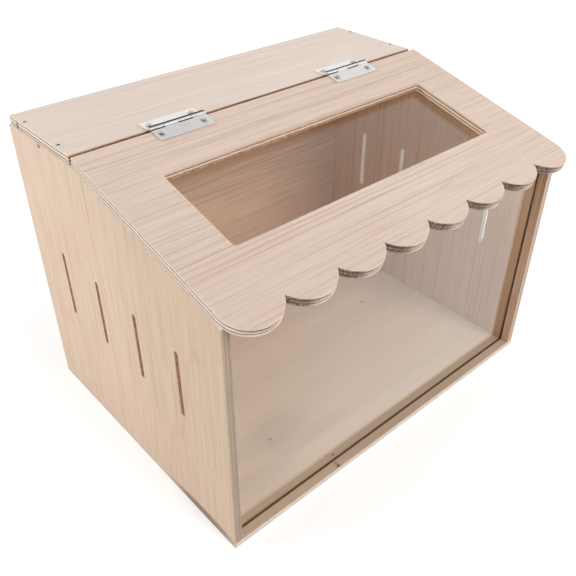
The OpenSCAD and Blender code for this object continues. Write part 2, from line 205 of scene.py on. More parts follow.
# Cut edges, pale and dark layers: across the grain, and along it on each kind of panel
ENDS = (0.90, 0.79, 0.69), (0.31, 0.18, 0.11)
WINDOW_ENDS = (0.92, 0.76, 0.60), (0.28, 0.15, 0.085)
LID_LAYERS = (0.76, 0.635, 0.53), (0.23, 0.132, 0.085)
STRIP_LAYERS = (0.62, 0.42, 0.30), (0.16, 0.08, 0.045)
WINDOW_LAYERS = (0.92, 0.72, 0.56), (0.27, 0.135, 0.075)
LEFT_LAYERS = (0.44, 0.34, 0.265), (0.31, 0.24, 0.185)
POST_LAYERS = (0.58, 0.455, 0.37), (0.43, 0.33, 0.265)
FLOOR_LAYERS = (0.88, 0.78, 0.68), (0.22, 0.135, 0.085)

# Dark layers by their share of the thickness: thin lines across the grain, thick bands along it, and
# the bands in the walls of the window, whose lowest layer is dark too and whose top layer is half dark
# as painted shade of a rounded rim
THIN_LAYERS = [
    (0.0, 0.0), (0.20, 0.0), (0.23, 1.0), (0.33, 1.0), (0.36, 0.0),
    (0.64, 0.0), (0.67, 1.0), (0.77, 1.0), (0.80, 0.0), (1.0, 0.0),
]
THICK_LAYERS = [
    (0.0, 0.0), (0.24, 0.0), (0.28, 1.0), (0.42, 1.0), (0.46, 0.0),
    (0.58, 0.0), (0.62, 1.0), (0.86, 1.0), (0.90, 0.0), (1.0, 0.0),
]
WINDOW_BANDS = [
    (0.0, 1.0), (0.40, 0.90), (0.46, 0.0), (0.60, 0.0),
    (0.64, 1.0), (0.80, 1.0), (0.86, 0.45), (1.0, 0.45),
]

# Walls of the vent slots and the grooves, lighter and darker: the near slots browned by the cut and
# darkened as painted shade, the far slots pale as painted light, the grooves charred and darkened as
# painted shade. Then the darkest burn, on the scallops also painted shade, and the marks, some of them
# painted shade
SLOT_SCORCH_AND_SHADE = (0.70, 0.48, 0.32), (0.52, 0.33, 0.20)
FAR_SLOT_PAINTED_LIGHT = (0.86, 0.78, 0.70), (0.76, 0.66, 0.56)
GROOVE_CHAR_AND_SHADE = (0.33, 0.18, 0.095), (0.20, 0.105, 0.055)
SCORCH_AND_SHADE_COLOUR = (0.070, 0.036, 0.020)
MARK_COLOUR = (0.12, 0.062, 0.034)

# Plated metals, bright and dull, with their roughness, and dull steel for painted shade, darker and lighter
NICKEL = (0.84, 0.82, 0.81), (0.79, 0.77, 0.76)
NICKEL_ROUGHNESS = 0.18
ZINC = (0.64, 0.71, 0.80), (0.54, 0.61, 0.71)
ZINC_ROUGHNESS = 0.24
BRIGHT_ZINC = (0.86, 0.87, 0.88), (0.78, 0.79, 0.80)
BRIGHT_ZINC_ROUGHNESS = 0.36
DARK_STEEL = (0.045, 0.04, 0.036), (0.09, 0.078, 0.068)
RECESS_STEEL = (0.56, 0.55, 0.54), (0.70, 0.69, 0.68)

# Marks as centre, radii and strength
MARK_DEPTH = 0.004


def floor_mark(x, y, half_width, half_depth, strength):
    """Mark on the upper face of the floor."""
    return (x, y, floor_high.z), (half_width, half_depth, MARK_DEPTH), strength


FLOOR_MARKS = [
    floor_mark(-0.1030, -0.0680, 0.0026, 0.0022, 0.65),  # left knot
    floor_mark(-0.1060, -0.0790, 0.0012, 0.0240, 0.22),  # crack before it
    floor_mark(-0.1050, -0.0620, 0.0800, 0.0200, 0.13),  # smudges about it
    floor_mark(-0.0750, -0.0880, 0.0800, 0.0110, 0.11),
    floor_mark(-0.0920, -0.0640, 0.0450, 0.0280, 0.17),
    floor_mark(-0.1500, -0.1000, 0.0600, 0.0200, 0.13),
    floor_mark(-0.0710, -0.1215, 0.0022, 0.0016, 0.85),  # fleck behind the pane
    floor_mark(0.1240, 0.0260, 0.0045, 0.0022, 0.45),  # right knot
    floor_mark(-0.0765, FRONT_Y + 2.2 * MM, 0.0024, 0.0018, 0.95),  # sill knot
    floor_mark(-0.0765, FRONT_Y + 5.0 * MM, 0.0030, 0.0050, 0.30),  # its streak
    floor_mark(0.0300, FRONT_Y + 4.0 * MM, 0.1300, 0.0080, 0.13),  # sill smudge
]
# Shade on the floor's left edge, under the gap
FLOOR_END_MARKS = [((LEFT_X, FRONT_Y + 46.0 * MM, 0.0035), (0.004, 0.054, 0.0060), 0.60)]
# Brown band behind the lid's window: painted shade of a rounded rim
LID_MARKS = [((0.0, window_high.y - 15.0 * MM, window_high.z + 4.0 * MM), (0.20, 0.0024, 0.010), 0.17)]
# Dark void in the strip's left end: painted shade of the hole
STRIP_MARKS = [((-0.198, 0.1435, 0.2870), (0.003, 0.0018, 0.0048), 1.0)]
# Painted shade of a chip at the left panel's top, and painted shade along its lower edge over the gap
LEFT_MARKS = [
    ((LEFT_X, 0.1015, 0.2838), (0.003, 0.0028, 0.0030), 0.95),
    ((LEFT_X, FRONT_Y + 42.0 * MM, 0.0070), (0.003, 0.046, 0.0026), 0.80),
]

# Fades: a direction, and the places along it where the veneer starts to darken and is darkest. The left
# panel's fade towards its front is partly its own tone and partly painted shade. The posts' fade towards
# the top, under the lid, the lid's towards its front left and the back's towards its upper right are
# painted shade, and the strip's darkens it towards its left end. The sill's fade darkens the sill and also
# takes in a strip behind the front pane, as wide as the sill: a painted reflection of the sill in the pane
SILL_BACK = 2 * pane_low.y - FRONT_Y
SILL_BLUR = 0.5 * MM
LEFT_FADE = -AXIS_Y, -0.06, -FRONT_Y
SILL_FADE = -AXIS_Y, -SILL_BACK - SILL_BLUR, -SILL_BACK + SILL_BLUR
POST_FADE = AXIS_Z, 0.08, 0.22
STRIP_FADE = -AXIS_X, -0.15, 0.15
LID_FADE = -(AXIS_X + AXIS_Y).normalized(), 0.06, 0.22
BACK_FADE = (AXIS_X + 1.5 * AXIS_Z).normalized(), 0.04, 0.20


# Node helpers. A mix node has sockets for several kinds of data, and these are its colours

MIX_COLOUR_A, MIX_COLOUR_B, MIX_COLOUR_OUT = 6, 7, 2


def make(tree, kind, inputs=None, **settings):
    """Adds a shader node; inputs are values or the sockets that feed them."""
    node = tree.nodes.new("ShaderNode" + kind)
    for name, value in settings.items():
        setattr(node, name, value)
    for name, value in (inputs or {}).items():
        if isinstance(value, bpy.types.NodeSocket):
            tree.links.new(value, node.inputs[name])
        else:
            node.inputs[name].default_value = value
    return node


def object_place(tree):
    """Coordinates in the frame's own axes."""
    return make(tree, "TexCoord").outputs["Object"]


def math_node(tree, operation, a, b):
    """Result of an operation on two numbers."""
    return make(tree, "Math", {0: a, 1: b}, operation=operation).outputs[0]


def size_of(tree, value):
    """The value without its sign."""
    return make(tree, "Math", {0: value}, operation="ABSOLUTE").outputs[0]


def dot(tree, a, b):
    return make(tree, "VectorMath", {0: a, 1: b}, operation="DOT_PRODUCT").outputs["Value"]


def length_of(tree, vector):
    return make(tree, "VectorMath", {0: vector}, operation="LENGTH").outputs["Value"]


def noise(tree, vector, scale, detail=4.0, roughness=0.55, distortion=0.0):
    values = {
        "Vector": vector,
        "Scale": scale,
        "Detail": detail,
        "Roughness": roughness,
        "Distortion": distortion,
    }
    return make(tree, "TexNoise", values).outputs[0]


def along_grain(tree, grain, shift, pattern, wide=1.0):
    """Noise drawn out along the grain, from another place in it for each panel. A pattern is its pull
    along the grain, where less is longer, and the noise's scale, detail and so on. It is drawn wide
    times its usual width."""
    pull, scale, *rest = pattern
    pulls = [pull if abs(g) > ACROSS else 1.0 for g in grain]
    values = {"Vector": object_place(tree), "Scale": pulls, "Location": shift}
    stretched = make(tree, "Mapping", values).outputs["Vector"]
    return noise(tree, stretched, scale / wide, *rest)


def ramp(tree, factor, stops):
    """Colour ramp through (position, grey) stops."""
    node = make(tree, "ValToRGB", {"Fac": factor})
    elements = node.color_ramp.elements
    while len(elements) < len(stops):
        elements.new(0.5)
    for element, (position, grey) in zip(elements, stops):
        element.position = position
        element.color = (grey, grey, grey, 1.0)
    return node.outputs["Color"]


def step(tree, value, low, high, top=1.0, bottom=0.0):
    """Soft step of a value from bottom at low to top at high."""
    values = {"Value": value, "From Min": low, "From Max": high, "To Min": bottom, "To Max": top}
    return make(tree, "MapRange", values, interpolation_type="SMOOTHSTEP").outputs[0]


def mix(tree, factor, a, b):
    """Colour mix from a to b."""
    node = make(tree, "Mix", {0: factor}, data_type="RGBA")
    for index, value in ((MIX_COLOUR_A, a), (MIX_COLOUR_B, b)):
        if isinstance(value, bpy.types.NodeSocket):
            tree.links.new(value, node.inputs[index])
        else:
            node.inputs[index].default_value = (*value, 1.0)
    return node.outputs[MIX_COLOUR_OUT]


def material(name):
    """New material with its node tree and its shader."""
    mat = bpy.data.materials.new(name)
    mat.use_nodes = True
    tree = mat.node_tree
    return mat, tree, tree.nodes["Principled BSDF"]


def set_bump(tree, bsdf, height, strength, distance):
    """Fine relief from a height, distance deep."""
    bump = make(tree, "Bump", {"Height": height, "Strength": strength, "Distance": distance})
    tree.links.new(bump.outputs[0], bsdf.inputs["Normal"])


# Marks: the noise that makes their rims uneven, how uneven they are, and the shares of their radii
# where they begin and are full

MARK_NOISE = 900.0, 2.0
MARK_UNEVEN = 0.9
MARK_STEP = 1.15, 0.35


def spots(tree, places):
    """Mask of soft dark marks; each place is (centre, radii, strength), in metres."""
    coords = object_place(tree)
    centred = math_node(tree, "SUBTRACT", noise(tree, coords, *MARK_NOISE), 0.5)
    uneven = math_node(tree, "MULTIPLY", centred, MARK_UNEVEN)
    total = None
    for centre, radii, strength in places:
        offset = make(tree, "VectorMath", {0: coords, 1: centre}, operation="SUBTRACT").outputs[0]
        scaled = make(tree, "VectorMath", {0: offset, 1: radii}, operation="DIVIDE").outputs[0]
        reach = math_node(tree, "ADD", length_of(tree, scaled), uneven)
        mask = step(tree, reach, *MARK_STEP, strength)
        total = mask if total is None else math_node(tree, "MAXIMUM", total, mask)
    return total


# Veneer: patterns for along_grain, and the noise levels where each starts to show and shows in full

VENEER_CLOUDS = 0.10, 16.0, 2.0, 0.5, 0.3
VENEER_GROUPS = 0.05, 55.0, 2.0
VENEER_STREAKS = 0.007, 560.0, 1.0, 0.5
VENEER_HAIRS = 0.014, 950.0, 2.0, 0.6
VENEER_GLINTS = 0.012, 620.0, 1.0, 0.5
VENEER_PORES = 0.10, 1300.0, 1.0, 0.5
VENEER_CONTOUR = 0.035, 11.0, 1.0, 0.4
CLOUD_STEP = 0.30, 0.72
GROUP_STEP = 0.36, 0.64
STREAK_STEP = 0.56, 0.68
HAIR_STEP = 0.46, 0.72
GLINT_STEP = 0.52, 0.75
PORE_STEP = 0.62, 0.76
RING_STEP = 0.07, 0.0
RING_COUNT = 30.0
RING_STRENGTH = 0.6
QUIET_SHARE = 0.4
PORE_SHARE = 0.5
GLINT_GAIN, GLINT_LIMIT = 1.14, 0.95
ROUGH_STEP = 0.2, 0.8
VENEER_ROUGHNESS = 0.72, 0.50
VENEER_SPECULAR = 0.12
VENEER_BUMP = 0.25, 0.12 * MM
PORE_DEPTH = 0.6


def veneer(
    name, grain, colours, shift, lines=0.5, fine=0.3, cloud=0.4,
    marks=None, fade=None, shares=CLOUD_SHARES, wide=1.0,
):
    """Bare light veneer: long growth lines in loose groups, fine fibres, pores and soft clouds of tone,
    as strong as lines, fine and cloud say. It darkens along fade. The streaks, fibres and pores are drawn
    wide times their usual width."""
    mat, tree, bsdf = material(name)
    tone, line = colours
    darker = [c * s for c, s in zip(tone, shares)]
    paler = [min(c * GLINT_GAIN, GLINT_LIMIT) for c in tone]
    broad = along_grain(tree, grain, shift, VENEER_CLOUDS)
    groups = along_grain(tree, grain, shift, VENEER_GROUPS)
    streaks = along_grain(tree, grain, shift, VENEER_STREAKS, wide)
    hairs = along_grain(tree, grain, shift, VENEER_HAIRS, wide)
    glints = along_grain(tree, grain, shift, VENEER_GLINTS, wide)
    pores = along_grain(tree, grain, shift, VENEER_PORES, wide)
    # Contours of a drawn-out noise give a few growth lines that run together here and there
    contour = along_grain(tree, grain, shift, VENEER_CONTOUR)
    rings = math_node(tree, "PINGPONG", math_node(tree, "MULTIPLY", contour, RING_COUNT), 1.0)
    rings = step(tree, rings, *RING_STEP, RING_STRENGTH)
    growth = math_node(tree, "MAXIMUM", step(tree, streaks, *STREAK_STEP), rings)
    grouped = step(tree, groups, *GROUP_STEP, lines, QUIET_SHARE * lines)
    base = mix(tree, step(tree, broad, *CLOUD_STEP, cloud), tone, darker)
    if fade:
        way, start, end = fade
        base = mix(tree, step(tree, dot(tree, object_place(tree), way), start, end), base, darker)
    base = mix(tree, step(tree, glints, *GLINT_STEP, fine), base, paler)
    base = mix(tree, math_node(tree, "MULTIPLY", growth, grouped), base, line)
    base = mix(tree, step(tree, hairs, *HAIR_STEP, fine), base, line)
    base = mix(tree, step(tree, pores, *PORE_STEP, PORE_SHARE * fine), base, line)
    if marks:
        base = mix(tree, spots(tree, marks), base, MARK_COLOUR)
    tree.links.new(base, bsdf.inputs["Base Color"])
    tree.links.new(step(tree, hairs, *ROUGH_STEP, *VENEER_ROUGHNESS), bsdf.inputs["Roughness"])
    bsdf.inputs["Specular IOR Level"].default_value = VENEER_SPECULAR
    height = math_node(tree, "SUBTRACT", hairs, math_node(tree, "MULTIPLY", pores, PORE_DEPTH))
    set_bump(tree, bsdf, height, *VENEER_BUMP)
    return mat


# Cut edges: noises and patterns, how far a face has to look along the grain to count as cut across it,
# to take the pale colours as painted light and to be scorched and darkened as painted shade, and the
# waviness of the layers

EDGE_WAVES = 60.0, 3.0
EDGE_SPECKLE = 700.0, 3.0, 0.7
EDGE_FIBRE = 0.12, 420.0, 3.0, 0.65, 0.4
END_STEP = 0.50, 0.92
CLEAN_AND_LIT_STEP = 0.05, 0.55
SCORCH_AND_SHADE_STEP = -0.05, -0.62
SCORCH_AND_SHADE_LENGTH = 12.0 * MM
SCORCH_AND_SHADE_STRENGTH = 0.92
LAYER_WAVE = 0.4 * MM
SPECKLE_STEP = 0.35, 0.62
SPECKLE_LEVELS = 1.0, 0.55
FIBRE_STEP = 0.40, 0.75
FIBRE_STRENGTH = 0.22
EDGE_ROUGHNESS = 0.78
EDGE_SPECULAR = 0.06
EDGE_BUMP = 0.4, 0.2 * MM
LAYER_DEPTH = 0.5


def ply_edge(
    name, normal, low, thickness, grain, layers, shift,
    ends=ENDS, marks=None, scorch_and_shade_from=None, bands=THICK_LAYERS,
):
    """Cut edge of five-layer plywood. Across the grain its layers are pale with thin brown lines between
    them, and along the grain the cross layers are dark and broken. Given a place along the grain, faces
    that look on along the grain take the pale cross-grain colours as painted light, and past the place
    the faces that look back along it are scorched and darkened as painted shade."""
    mat, tree, bsdf = material(name)
    coords = object_place(tree)
    moved = make(tree, "Mapping", {"Vector": coords, "Location": shift}).outputs["Vector"]
    facing = dot(tree, make(tree, "NewGeometry").outputs["Normal"], grain)
    across = step(tree, size_of(tree, facing), *END_STEP)
    # Faces that look on along the grain take the pale cross-grain colours: painted light
    if scorch_and_shade_from is not None:
        across = math_node(tree, "MAXIMUM", across, step(tree, facing, *CLEAN_AND_LIT_STEP))
    wave = step(tree, noise(tree, moved, *EDGE_WAVES), 0.0, 1.0, LAYER_WAVE, -LAYER_WAVE)
    level = math_node(tree, "ADD", dot(tree, coords, normal), wave)
    span = {"Value": level, "From Min": low, "From Max": low + thickness}
    share = make(tree, "MapRange", span).outputs[0]
    thin = ramp(tree, share, THIN_LAYERS)
    thick = ramp(tree, share, bands)
    speckle = step(tree, noise(tree, moved, *EDGE_SPECKLE), *SPECKLE_STEP, *SPECKLE_LEVELS)
    ragged = math_node(tree, "MULTIPLY", thick, speckle)
    light = mix(tree, across, layers[0], ends[0])
    dark = mix(tree, across, layers[1], ends[1])
    fibre = along_grain(tree, grain, shift, EDGE_FIBRE)
    light = mix(tree, step(tree, fibre, *FIBRE_STEP, FIBRE_STRENGTH), light, dark)
    base = mix(tree, mix(tree, across, ragged, thin), light, dark)
    # Past the place, faces that look back along the grain darken: scorch and painted shade
    if scorch_and_shade_from is not None:
        along = dot(tree, coords, grain)
        past = step(tree, along, scorch_and_shade_from, scorch_and_shade_from + SCORCH_AND_SHADE_LENGTH, SCORCH_AND_SHADE_STRENGTH)
        burnt_and_shaded = math_node(tree, "MULTIPLY", step(tree, facing, *SCORCH_AND_SHADE_STEP), past)
        burnt_and_shaded = math_node(tree, "MULTIPLY", burnt_and_shaded, speckle)
        base = mix(tree, burnt_and_shaded, base, SCORCH_AND_SHADE_COLOUR)
    if marks:
        base = mix(tree, spots(tree, marks), base, MARK_COLOUR)
    tree.links.new(base, bsdf.inputs["Base Color"])
    bsdf.inputs["Roughness"].default_value = EDGE_ROUGHNESS
    bsdf.inputs["Specular IOR Level"].default_value = EDGE_SPECULAR
    height = math_node(tree, "SUBTRACT", fibre, math_node(tree, "MULTIPLY", ragged, LAYER_DEPTH))
    set_bump(tree, bsdf, height, *EDGE_BUMP)
    return mat


# Cut walls: browned by the cut with painted shade, and pale with painted light

CUT_WALL_CLOUDS = 260.0, 3.0, 0.65
CUT_WALL_CLOUD_STEP = 0.3, 0.7
CUT_WALL_ROUGHNESS = 0.85
CUT_WALL_SPECULAR = 0.05
CUT_WALL_BUMP = 0.4, 0.2 * MM


def cut_wall_scorch_and_light(name, colours):
    """Cut walls clouded between two colours: in the near slots and the grooves browned by the cut and
    darkened as painted shade, in the far slots pale as painted light.
    """
    mat, tree, bsdf = material(name)
    cloud = noise(tree, object_place(tree), *CUT_WALL_CLOUDS)
    base = mix(tree, step(tree, cloud, *CUT_WALL_CLOUD_STEP), *colours)
    tree.links.new(base, bsdf.inputs["Base Color"])
    bsdf.inputs["Roughness"].default_value = CUT_WALL_ROUGHNESS
    bsdf.inputs["Specular IOR Level"].default_value = CUT_WALL_SPECULAR
    set_bump(tree, bsdf, cloud, *CUT_WALL_BUMP)
    return mat


# Clear sheet: its tint, what it lets through of the light for the inside, and its smears. The front
# pane's coat is full up to the first distance from its middle, and gone at the second

PANE_IOR = 1.40
PANE_COAT = 0.40
FRONT_COAT_REACH = 0.06, 0.17
PANE_TINT = (0.985, 0.992, 0.99, 1.0)
PANE_LIGHT = (0.95, 0.952, 0.95, 1.0)
PANE_SMEARS = 14.0, 4.0, 0.6, 0.8
SMEAR_STEP = 0.35, 0.8
SMEAR_ROUGHNESS = 0.04


def acrylic(name, coat_reach=None):
    """Clear sheet with faint smears and, with coat_reach, a glossy coat on its middle. Light for the
    inside passes straight through."""
    mat, tree, bsdf = material(name)
    coords = object_place(tree)
    bsdf.inputs["Base Color"].default_value = PANE_TINT
    bsdf.inputs["Transmission Weight"].default_value = 1.0
    bsdf.inputs["IOR"].default_value = PANE_IOR
    if coat_reach:
        full, gone = coat_reach
        away = size_of(tree, make(tree, "SeparateXYZ", {0: coords}).outputs["X"])
        tree.links.new(step(tree, away, gone, full, PANE_COAT), bsdf.inputs["Coat Weight"])
    smear = noise(tree, coords, *PANE_SMEARS)
    tree.links.new(step(tree, smear, *SMEAR_STEP, SMEAR_ROUGHNESS), bsdf.inputs["Roughness"])
    clear = make(tree, "BsdfTransparent", {"Color": PANE_LIGHT}).outputs[0]
    path = make(tree, "LightPath").outputs
    soft = make(tree, "MixShader", {0: path["Is Diffuse Ray"], 1: bsdf.outputs[0], 2: clear}).outputs[0]
    both = make(tree, "MixShader", {0: path["Is Shadow Ray"], 1: soft, 2: clear}).outputs[0]
    tree.links.new(both, tree.nodes["Material Output"].inputs["Surface"])
    return mat


# Plated steel, and dull steel for painted shade

BRUSHED_SCALE = (0.05, 1.0, 1.0)
BRUSHED_LINES = 5200.0, 2.0, 0.6
PLATE_CLOUDS = 90.0, 3.0, 0.6
PLATE_CLOUD_STEP = 0.35, 0.75
WEAR_STEP = 0.6, 1.4
WORN_GAIN, FRESH_GAIN = 1.3, 0.8
PLATE_BUMP = 0.08, 0.02 * MM
SHADE_STEEL_CLOUDS = 700.0, 3.0
SHADE_STEEL_ROUGHNESS = 0.65
SHADE_STEEL_SPECULAR = 0.15


def plated(name, colours, roughness):
    """Plated steel with fine brushing along the hinge line and slight clouding."""
    mat, tree, bsdf = material(name)
    coords = object_place(tree)
    brushed = make(tree, "Mapping", {"Vector": coords, "Scale": BRUSHED_SCALE}).outputs["Vector"]
    lines = noise(tree, brushed, *BRUSHED_LINES)
    cloud = noise(tree, coords, *PLATE_CLOUDS)
    base = mix(tree, step(tree, cloud, *PLATE_CLOUD_STEP), *colours)
    tree.links.new(base, bsdf.inputs["Base Color"])
    bsdf.inputs["Metallic"].default_value = 1.0
    wear = math_node(tree, "ADD", lines, cloud)
    rough = step(tree, wear, *WEAR_STEP, roughness * WORN_GAIN, roughness * FRESH_GAIN)
    tree.links.new(rough, bsdf.inputs["Roughness"])
    set_bump(tree, bsdf, lines, *PLATE_BUMP)
    return mat


def painted_shade_steel(name, colours):
    """Dull steel as painted shade and painted reflection on the rolled knuckles, and as painted shade in
    their bores and in the screws' recesses and on their rims.
    """
    mat, tree, bsdf = material(name)
    base = mix(tree, noise(tree, object_place(tree), *SHADE_STEEL_CLOUDS), *colours)
    tree.links.new(base, bsdf.inputs["Base Color"])
    bsdf.inputs["Roughness"].default_value = SHADE_STEEL_ROUGHNESS
    bsdf.inputs["Specular IOR Level"].default_value = SHADE_STEEL_SPECULAR
    return mat


# Pieces

def copied(node):
    """New mesh from a CAD node, with its flat faces joined and its corners shared."""
    mesh = frame["nodes"][node].data.copy()
    mesh.materials.clear()
    work = bmesh.new()
    work.from_mesh(mesh)
    bmesh.ops.remove_doubles(work, verts=work.verts, dist=MERGE_DISTANCE)
    bmesh.ops.dissolve_limit(work, angle_limit=JOIN_ANGLE, verts=work.verts, edges=work.edges)
    work.normal_update()
    return mesh, work


def piece(node, mesh, work, materials, edge):
    """Finishes a piece: materials, rounded edges, smooth curves, in place of its CAD node."""
    work.to_mesh(mesh)
    work.free()
    for mat in materials:
        mesh.materials.append(mat)
    for face in mesh.polygons:
        face.use_smooth = True
    mesh.set_sharp_from_angle(angle=SMOOTH_ANGLE)
    obj = bpy.data.objects.new("dressed_" + node, mesh)
    bpy.context.scene.collection.objects.link(obj)
    bevel = obj.modifiers.new("rounded_edges", "BEVEL")
    bevel.width = edge
    bevel.segments = ROUNDED_SEGMENTS
    bevel.limit_method = "ANGLE"
    bevel.angle_limit = ROUNDED_ANGLE
    bevel.harden_normals = True
    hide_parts(node)
    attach(obj, frame["nodes"][node]["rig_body"])


def panel(node, normal, materials, special=None, change=None):
    """Plywood panel: veneer on its two faces, layers on everything that is cut through them, and what
    special gives to the faces it knows."""
    mesh, work = copied(node)
    if change:
        change(work)
    for part in work.faces:
        part.material_index = FACE if abs(part.normal.dot(normal)) > FLAT else CUT
        index = special(part) if special else None
        if index is not None:
            part.material_index = index
    piece(node, mesh, work, materials, PANEL_EDGE)


def in_groove(place):
    """Whether a place is in the grooves that hold the front pane."""
    return pane_low.y - GROOVE_BEFORE < place.y < pane_high.y + GROOVE_BEHIND


def side_special(inward):
    """Special faces of a side panel, whose inside faces along inward."""
    def special(part):
        place = part.calc_center_median()
        if in_groove(place):
            return SIDE_GROOVE
        if part.normal.dot(inward) > FLAT:
            return SIDE_POST if place.y < pane_low.y else SIDE_INNER
        among = FRONT_Y + SLOT_MARGIN < place.y < side_high.y - SLOT_MARGIN
        if among and SLOT_LOW < place.z < SLOT_HIGH and abs(part.normal.x) < ACROSS:
            return SIDE_SLOT
        return None
    return special


def floor_special(part):
    """The floor's groove."""
    if in_groove(part.calc_center_median()) and part.normal.z > -ACROSS:
        return FLOOR_GROOVE
    return None


def lid_special(part):
    """The lid's scallops and the walls of its window."""
    place = part.calc_center_median()
    if abs(part.normal.dot(LID_NORMAL)) > ACROSS:
        return None
    if place.y < lid_low.y + LID_MARGIN:
        return LID_SCALLOP
    if place.y < lid_high.y - LID_MARGIN and abs(place.x) < lid_high.x - LID_MARGIN:
        return LID_WINDOW
    return None


def open_gap(work):
    """Lifts the left panel's lower edge near the front, where it gapes a little above the floor."""
    start, peak, end = FRONT_Y + GAP_START, FRONT_Y + GAP_PEAK, FRONT_Y + GAP_END
    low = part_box("left_side_panel")[0].z
    for i in range(GAP_STEPS + 1):
        y = start + (end - start) * i / GAP_STEPS
        geometry = work.verts[:] + work.edges[:] + work.faces[:]
        bmesh.ops.bisect_plane(
            work, geom=geometry, dist=CUT_DISTANCE, plane_co=(0, y, 0), plane_no=AXIS_Y)
    for vertex in work.verts:
        if abs(vertex.co.z - low) > SAME_LEVEL or not start < vertex.co.y < end:
            continue
        near = (vertex.co.y - start) / (peak - start)
        far = (end - vertex.co.y) / (end - peak)
        vertex.co.z += GAP_RISE * min(near, far, 1.0)


def pane(node, mat):
    """Clear pane with slightly rounded edges."""
    mesh, work = copied(node)
    piece(node, mesh, work, [mat], PANE_EDGE)


def hinge_leaf(node, pin, metal, shade_metal):
    """Hinge leaf: bright plate, knuckles and ends, with painted shade and painted reflection over the top
    and back of the rolled knuckles and painted shade in their bores.
    """
    mesh, work = copied(node)
    low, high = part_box(pin)
    axis = (low + high) / 2
    diameter = max(high.z - low.z, high.y - low.y)
    for part in work.faces:
        centre = part.calc_center_median()
        reach = math.hypot(centre.y - axis.y, centre.z - axis.z)
        behind = math.atan2(centre.y - axis.y, centre.z - axis.z)
        # Dark faces: painted shade and painted reflection over the roll, painted shade in the bore
        in_shade_band = reach < diameter * KNUCKLE_OUTER_SHARE and SHADE_BAND_FROM < behind < SHADE_BAND_TO
        inner = reach < diameter * KNUCKLE_INNER_SHARE
        on_end = abs(part.normal.x) > FLAT
        part.material_index = DARK if (in_shade_band or inner) and not on_end else BRIGHT
    piece(node, mesh, work, [metal, shade_metal], METAL_EDGE)


def islands(work):
    """Sets of joined faces, one for each screw of a node."""
    left = set(work.faces)
    while left:
        found = set()
        waiting = [left.pop()]
        while waiting:
            part = waiting.pop()
            found.add(part)
            for vertex in part.verts:
                joined = [f for f in vertex.link_faces if f in left]
                left.difference_update(joined)
                waiting.extend(joined)
        yield found


def screws(node, up, metal, recess):
    """Screws whose heads look along up: plated, with a darker material as painted shade in the cross recess
    and on the rim.
    """
    mesh, work = copied(node)
    for screw in islands(work):
        points = {v for part in screw for v in part.verts}
        centre = sum((v.co for v in points), Vector()) / len(points)
        top = max(v.co.dot(up) for v in points)
        out = {v: (v.co - centre - up * (v.co - centre).dot(up)).length for v in points}
        head = max(out.values())
        for part in screw:
            sunk = top - part.calc_center_median().dot(up)
            upward = part.normal.dot(up)
            inner = max(out[v] for v in part.verts) < head * RECESS_REACH_SHARE
            walled = upward < ACROSS or sunk > head * RECESS_FLOOR_SHARE
            in_recess = inner and walled and sunk < head * RECESS_DEPTH_SHARE
            on_rim = min(out[v] for v in part.verts) > head * RIM_SHARE and abs(upward) < ACROSS
            # A darker material in the recess and on the rim: painted shade
            part.material_index = DARK if in_recess or on_rim else BRIGHT
    piece(node, mesh, work, [metal, recess], SCREW_EDGE)


# Plywood panels, each with its materials in the order given above

# Walls of the slots and grooves: scorch with painted shade, and painted light in the far panel's slots
slot_scorch_and_shade = cut_wall_scorch_and_light("slot_scorch_and_shade", SLOT_SCORCH_AND_SHADE)
far_slot_painted_light = cut_wall_scorch_and_light("far_slot_painted_light", FAR_SLOT_PAINTED_LIGHT)
groove_char_and_shade = cut_wall_scorch_and_light("groove_char_and_shade", GROOVE_CHAR_AND_SHADE)
panel(
    "left_side_panel", AXIS_X,
    [
        veneer(
            "veneer_left", AXIS_Z, SIDE_VENEER, (0.0, 0.2, 0.7),
            lines=0.34, fine=0.40, cloud=0.5, marks=LEFT_MARKS, fade=LEFT_FADE),
        ply_edge("edge_left", AXIS_X, -side_high.x, SIDE_T, AXIS_Z, LEFT_LAYERS, (0.0, 0.0, 0.3)),
        slot_scorch_and_shade,
        groove_char_and_shade,
        veneer("inner_left", AXIS_Z, INNER_VENEER, (0.3, 0.9, 0.1), lines=0.30, fine=0.34),
        veneer(
            "post_left", AXIS_Z, POST_VENEER, (0.3, 0.9, 0.1),
            lines=0.50, fine=0.34, fade=POST_FADE, shares=POST_SHARES),
    ],
    side_special(AXIS_X), open_gap,
)
panel(
    "right_side_panel", AXIS_X,
    [
        veneer(
            "veneer_right", AXIS_Z, SIDE_VENEER, (0.5, 2.4, 1.9),
            lines=0.34, fine=0.40, cloud=0.5),
        ply_edge("edge_right", AXIS_X, side_low.x, SIDE_T, AXIS_Z, POST_LAYERS, (0.7, 0.0, 0.0)),
        far_slot_painted_light,
        groove_char_and_shade,
        veneer("inner_right", AXIS_Z, FAR_VENEER, (0.8, 1.9, 1.1), lines=0.30, fine=0.24, wide=1.8),
        veneer(
            "post_right", AXIS_Z, POST_VENEER, (0.8, 1.9, 1.1),
            lines=0.50, fine=0.34, fade=POST_FADE, shares=POST_SHARES),
    ],
    side_special(-AXIS_X),
)
panel(
    "floor_panel", AXIS_Z,
    [
        veneer(
            "veneer_floor", AXIS_X, FLOOR_VENEER, (4.1, 1.3, 0.6),
            lines=0.12, fine=0.14, cloud=0.5, marks=FLOOR_MARKS, fade=SILL_FADE, shares=FLOOR_CLOUD_SHARES),
        ply_edge(
            "edge_floor", AXIS_Z, floor_low.z, FLOOR_T, AXIS_X, FLOOR_LAYERS, (0.2, 0.9, 0.0),
            marks=FLOOR_END_MARKS, bands=THIN_LAYERS),
        groove_char_and_shade,
    ],
    floor_special,
)
